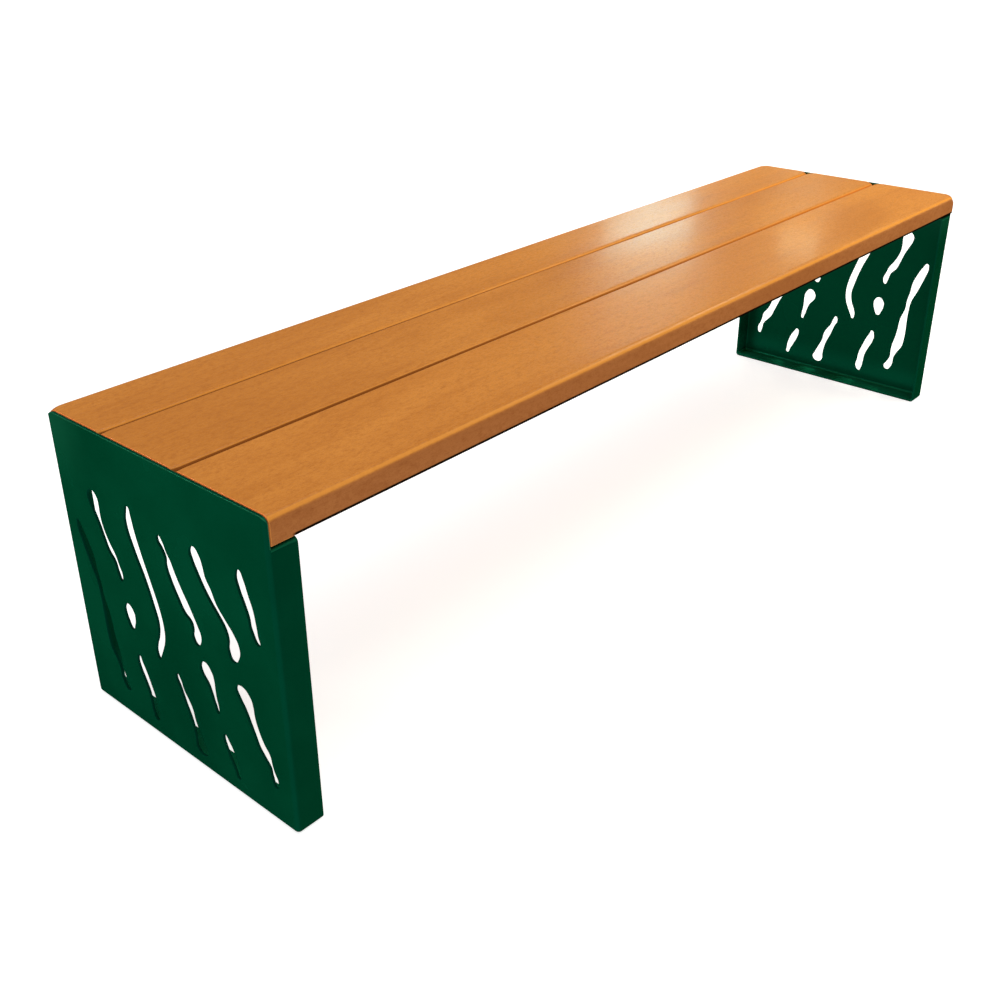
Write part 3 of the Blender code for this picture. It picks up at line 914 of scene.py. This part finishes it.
def slat_mesh(name, which):
    """A slat with rounded arrises and eased ends, planed by hand: its faces wander a little, inwards."""
    low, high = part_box(f"slat_{which}")
    front_arris, rear_arris = ARRISES[which]
    radii = (LOWER_ARRIS, LOWER_ARRIS, rear_arris, front_arris)

    bm = bmesh.new()
    rings = []
    for x, inset in slat_stations(low.x, high.x):
        from_end = min(x - low.x, high.x - x)
        share = max(1 - from_end / END_WEAR_LENGTH, 0) ** 2
        wear = END_WEAR["left" if x < 0 else "right"]
        rear_wear = CORNER_WEAR if which == "rear" and x < 0 else wear
        worn_radii = [*radii[:2], radii[2] + share * rear_wear, radii[3] + share * wear]
        outline = rounded_outline(
            (low.y + inset, low.z + inset),
            (high.y - inset, high.z - inset),
            [max(radius - inset, 0.5 * MM) for radius in worn_radii],
            8,
        )
        rings.append([bm.verts.new((x, y, z)) for y, z in outline])
    close_rings(bm, rings)
    for ring in rings:
        for vert in ring:
            wander = noise.noise(Vector((vert.co.x * 6, vert.co.y * 40, vert.co.z * 40 + 9)))
            centre = Vector((vert.co.x, (low.y + high.y) / 2, (low.z + high.z) / 2))
            inward = (centre - vert.co).normalized()
            vert.co += inward * (PLANING * (1 + wander))
    slat = new_object(name, mesh_from(bm, name))
    return shaded(combined(slat, [("DIFFERENCE", slat_holes(low, high))], name), 40)


def add_slats():
    tones = {"front": 1.0, "middle": 0.97, "rear": 0.985}
    for seed, which in enumerate(FRONT_MIDDLE_REAR, 1):
        timber = timber_material(f"slat_{which}_varnish", which, seed, tones[which])
        name = f"slat_{which}_timber"
        piece(name, slat_mesh(name, which), timber, "varnished_timber", f"slat_{which}")


# ---- Fixings ----


def flat_bar_mesh(name, node_name, corner, edge, hole_radius, screws):
    """A flat bar with rounded corners and eased edges, drilled over each of the named screws."""
    low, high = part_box(node_name)
    outline = rounded_outline((low.x, low.y), (high.x, high.y), (corner,) * 4, 8)
    placement = Matrix.Translation((0, 0, (low.z + high.z) / 2))
    bar = new_object(name, plate_mesh(name, outline, high.z - low.z, edge, placement))
    holes = bmesh.new()
    for screw in screws:
        screw_low, screw_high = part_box(screw)
        x, y, _ = (screw_low + screw_high) / 2
        if low.y < y < high.y:
            add_cylinder(holes, hole_radius, (x, y, low.z - CUTTER_PAST), (x, y, high.z + CUTTER_PAST))
    holes = new_object("holes", mesh_from(holes, "holes"))
    return shaded(combined(bar, [("DIFFERENCE", holes)], name), 32)


def add_pads():
    rubber = rubber_material()
    for side in ("left", "right"):
        for which in FRONT_MIDDLE_REAR:
            pad = f"{side}_pad_{which}"
            name = f"{pad}_rubber"
            mesh = flat_bar_mesh(name, pad, PAD_CORNER, PAD_EDGE, CLOSE_HOLE_RADIUS, screw_names(side))
            piece(name, mesh, rubber, "black_rubber", pad)


def add_brace():
    name = "centre_brace_bar"
    screws = screw_names("brace")
    mesh = flat_bar_mesh(name, "centre_brace", BRACE_CORNER, EDGE_ROUND, STEEL_HOLE_RADIUS, screws)
    coat = powder_coat_material("brace_coat", 3, 0.9)
    piece(name, mesh, coat, "green_powder_coat", "centre_brace")


def turned_mesh(name, profile, sides=32):
    """A mesh turned round Z from (radius, height) points, from the axis or round a ring."""
    closed = profile[0][0] > 0
    bm = bmesh.new()
    rings = []
    for radius, height in profile:
        if radius == 0:
            rings.append([bm.verts.new((0, 0, height))])
            continue
        angles = [2 * math.pi * side / sides for side in range(sides)]
        rings.append([bm.verts.new((radius * math.cos(a), radius * math.sin(a), height)) for a in angles])
    pairs = list(zip(rings, rings[1:]))
    if closed:
        pairs.append((rings[-1], rings[0]))
    for first, second in pairs:
        for side in range(sides):
            after = (side + 1) % sides
            if len(first) == 1:
                bm.faces.new((first[0], second[side], second[after]))
            elif len(second) == 1:
                bm.faces.new((first[side], second[0], first[after]))
            else:
                bm.faces.new((first[side], second[side], second[after], first[after]))
    return mesh_from(bm, name)


def washer_mesh():
    """A flat washer with eased rims. Its upper face is at z = 0."""
    ease = WASHER_EDGE
    inner = CLOSE_HOLE_RADIUS
    outer = WASHER_RADIUS
    bottom = -WASHER_THICKNESS
    profile = [
        (inner, -ease), (inner + ease, 0), (outer - ease, 0), (outer, -ease),
        (outer, bottom + ease), (outer - ease, bottom), (inner + ease, bottom), (inner, bottom + ease),
    ]
    return shaded(turned_mesh("washer", profile), 50)


def threaded_shank(length):
    """A shank that rises from inside the head, with its thread as rings and a blunt point."""
    root = -HEAD_HEIGHT / 2
    height = length * THREAD_START
    profile = [(0, root), (SCREW_RADIUS, root), (SCREW_RADIUS, height)]
    core = SCREW_RADIUS * THREAD_CORE
    while height + 2 * THREAD_PITCH < length:
        profile.append((core, height + THREAD_PITCH * 0.35))
        profile.append((core, height + THREAD_PITCH * 0.65))
        height += THREAD_PITCH
        profile.append((SCREW_RADIUS * 0.99, height))
    profile += [(SCREW_RADIUS * 0.6, length - THREAD_PITCH * 0.5), (0, length)]
    return new_object("screw_shank", turned_mesh("screw_shank", profile, 24))


def screw_mesh(name, length):
    """A hex head coach screw with a chamfered head. Its origin is under the head; the shank goes up."""
    corner_radius = HEAD_ACROSS_FLATS / 2 / math.cos(math.radians(30))
    head = bmesh.new()
    add_cylinder(head, corner_radius, (0, 0, -HEAD_HEIGHT), (0, 0, 0), 6)
    head = new_object("screw_head", mesh_from(head, "screw_head"))
    flat_radius = HEAD_ACROSS_FLATS / 2 * 0.95
    drop = (corner_radius - flat_radius) * math.tan(HEAD_CHAMFER)
    wide = corner_radius + MM
    well_above = 5 * MM
    chamfer = [
        (0, -HEAD_HEIGHT), (flat_radius, -HEAD_HEIGHT), (wide, -HEAD_HEIGHT + drop + 0.6 * MM),
        (wide, well_above), (0, well_above),
    ]
    chamfer = new_object("head_chamfer", turned_mesh("head_chamfer", chamfer, 48))
    steps = [("INTERSECT", chamfer), ("UNION", threaded_shank(length))]
    return shaded(combined(head, steps, name), 35)


def add_screws():
    zinc = zinc_material("screw_zinc", 1.0)
    washer_zinc = zinc_material("washer_zinc", 0.93)
    washer = washer_mesh()
    for row in SCREW_ROWS:
        low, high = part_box(f"{row}_screw_1")
        screw = screw_mesh(f"{row}_coach_screw", high.z - low.z - HEAD_HEIGHT)
        for number, name in enumerate(screw_names(row), 1):
            low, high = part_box(name)
            x, y, _ = (low + high) / 2
            piece(f"{name}_zinc", screw, zinc, "zinc_plated_steel", name, place=(x, y, low.z + HEAD_HEIGHT))
            name = f"{row}_washer_{number}"
            place = (x, y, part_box(name)[1].z)
            piece(f"{name}_zinc", washer, washer_zinc, "zinc_plated_steel", name, place=place)


# ---- Studio ----


def add_floor():
    bm = bmesh.new()
    bmesh.ops.create_circle(bm, cap_ends=True, segments=96, radius=60)
    floor = new_object("studio_floor", mesh_from(bm, "studio_floor"), floor_material())
    floor.location = (0, 0, -0.2 * MM)


def add_sun(name, elevation, azimuth, strength, angle):
    """A broad far light. The azimuth is the side it shines from: 0 from +X, 90 from +Y."""
    light = bpy.data.lights.new(name, "SUN")
    light.energy = strength
    light.angle = math.radians(angle)
    obj = new_object(name, light)
    obj.rotation_euler = (math.radians(90 - elevation), 0, math.radians(azimuth + 90))


def add_area(name, place, target, size, power, colour=(1, 1, 1)):
    """A rectangular lamp at a place, turned to a target. Its size is its width and height in metres."""
    light = bpy.data.lights.new(name, "AREA")
    light.shape = "RECTANGLE"
    light.size, light.size_y = size
    light.energy = power
    light.color = colour
    obj = new_object(name, light)
    obj.location = place
    aim = Vector(target) - Vector(place)
    obj.rotation_euler = aim.to_track_quat("-Z", "Y").to_euler()


def add_light():
    """Soft light from overhead and along the seat, two small lamps that gleam on the varnish, and two that
    light the left end panel.
    """
    world = bpy.data.worlds.new("studio")
    world.use_nodes = True
    background = world.node_tree.nodes["Background"]
    background.inputs["Color"].default_value = rgb(1, 1, 1)
    background.inputs["Strength"].default_value = 0.15
    bpy.context.scene.world = world
    add_sun("overhead", 84, -30, 2.1, 60)
    add_area("window", (3.0, 1.95, 1.33), (0.3, 0.08, 0.45), (0.40, 0.28), 4.9, (0.62, 0.93, 0.86))
    add_area("rim", (-2.1, 2.2, 1.95), (-0.9, 0.0, 0.4), (0.5, 0.5), 14)
    add_area("strip", (2.0, -0.9, 2.3), (0.5, 0.0, 0.45), (2.2, 0.5), 64, (0.97, 0.99, 0.72))
    add_area("fill", (-3.7, -0.3, 0.6), (-0.9, 0.0, 0.22), (1.4, 1.4), 30)
    add_area("glow", (3.0, 1.18, 1.28), (0.38, -0.15, 0.45), (0.16, 0.10), 0.85, (0.90, 0.93, 0.62))


def add_camera():
    """A camera a little above the waist, which looks along the seat from beyond its left front corner."""
    camera = bpy.data.cameras.new("camera")
    camera.lens = 43.051
    camera.sensor_width = 36
    camera.shift_x = 0.0220
    camera.shift_y = -0.0223
    camera.clip_end = 200
    obj = new_object("camera", camera)
    obj.location = (-1.56853, -1.14351, 1.06692)
    obj.rotation_euler = (math.radians(62.8205), math.radians(0.7179), math.radians(-47.9141))
    bpy.context.scene.camera = obj


add_panels()
add_slats()
add_pads()
add_brace()
add_screws()
add_floor()
add_light()
add_camera()
bpy.context.scene.view_settings.view_transform = "Standard"
